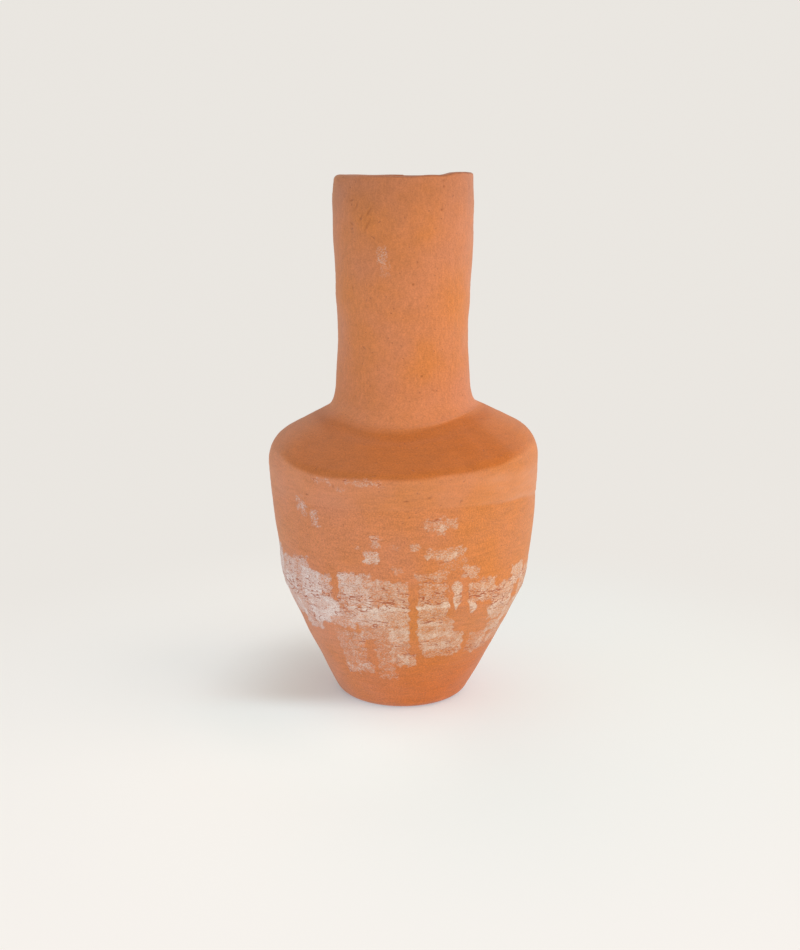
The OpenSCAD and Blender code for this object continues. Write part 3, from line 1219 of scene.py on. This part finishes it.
def paper():
    """Matt paper lit by the lamps near the jar, which fades into a steady glow further off.

    NEAR_GLOW and FAR_GLOW are each two colours that run into one another: NEAR_GLOW from the left
    of the jar to its right, and FAR_GLOW from the back to the front.
    """
    bench = Bench("paper")
    x, y, _ = bench.axes()
    away = bench.add("ShaderNodeVectorMath", {"operation": "LENGTH"}, {0: bench.place}, output="Value")
    far = bench.step(130, 520, away)
    shade = bench.mix(bench.step(-110, 30, x), SHADE_GLOW, NEAR_GLOW[1])
    open_floor = bench.mix(bench.step(-180, 120, x), *NEAR_GLOW)
    near_light = bench.mix(bench.step(60, 210, away), shade, open_floor)
    front = bench.step(-15, -65, y) * bench.step(260, 100, away) * bench.step(90, -50, x)
    near_light = bench.mix(front, near_light, FRONT_GLOW)
    far_light = bench.mix(bench.step(320, -560, y), *FAR_GLOW)
    glow = bench.mix(far, near_light, far_light)
    matt = bench.mix(far, PAPER_TONE, FAR_TONE)
    lit = bench.add("ShaderNodeBsdfDiffuse", {}, {"Color": matt})
    light = bench.add("ShaderNodeEmission", {}, {"Color": glow, "Strength": 1.0})
    both = bench.add("ShaderNodeAddShader", {}, {0: lit, 1: light})
    bench.add("ShaderNodeOutputMaterial", {}, {"Surface": both})
    return bench.material


sweep = paper_sweep()
finish([sweep], paper())

# %% [markdown]
# ## Light
# The main light is a wide window high on the right, which skims the walls and throws a soft shadow
# to the left. A broad, cooler light from the front opens up the shade, and a weak blue one fills
# the left side. The room itself is dim and warm.

# %% Three soft lights and a dim room
ROOM = (1.0, 0.92, 0.62, 1)


def soft_light(name, azimuth, elevation, distance, size, power, colour):
    """A square light at an azimuth (0 in front, growing to the right), aimed at the jar's middle.

    Angles are in degrees, the distance and size in metres, and the power in watts.
    """
    aim = Vector((0, 0, 0.5 * TOP * MM))
    a, e = math.radians(azimuth), math.radians(elevation)
    away = Vector((math.sin(a) * math.cos(e), -math.cos(a) * math.cos(e), math.sin(e)))
    lamp = bpy.data.lights.new(name, "AREA")
    lamp.shape = "SQUARE"
    lamp.size = size
    lamp.energy = power
    lamp.color = colour
    holder = bpy.data.objects.new(name, lamp)
    bpy.context.scene.collection.objects.link(holder)
    holder.location = aim + away * distance
    holder.rotation_euler = (-away).to_track_quat("-Z", "Y").to_euler()
    return holder


soft_light("window", 72, 40, 1.6, 1.5, 14, (1.0, 0.85, 0.78))
soft_light("front", 14, 6, 2.4, 1.8, 27, (0.70, 0.83, 1.0))
soft_light("fill", -80, 8, 1.9, 1.5, 10, (0.40, 0.58, 1.0))
world = bpy.data.worlds.new("room")
bpy.context.scene.world = world
world.use_nodes = True
room_light = world.node_tree.nodes["Background"].inputs
room_light["Color"].default_value = ROOM
room_light["Strength"].default_value = 0.5

# %% [markdown]
# ## Camera
# The camera stands a little over a metre away, level with the top of the rim, and looks slightly
# down, so that the rim is seen edge-on and the shoulder opens up.

# %% Camera and colour
# Its place in metres, and how many degrees it looks down
CAMERA_PLACE = (-0.0026, -1.110, 0.4434)
CAMERA_DOWN = 12.74

lens = bpy.data.cameras.new("camera")
lens.lens = 50
lens.sensor_width = 36
camera = bpy.data.objects.new("camera", lens)
bpy.context.scene.collection.objects.link(camera)
camera.location = CAMERA_PLACE
camera.rotation_euler = (math.radians(90 - CAMERA_DOWN), 0, 0)
bpy.context.scene.camera = camera
bpy.context.scene.view_settings.view_transform = "Standard"
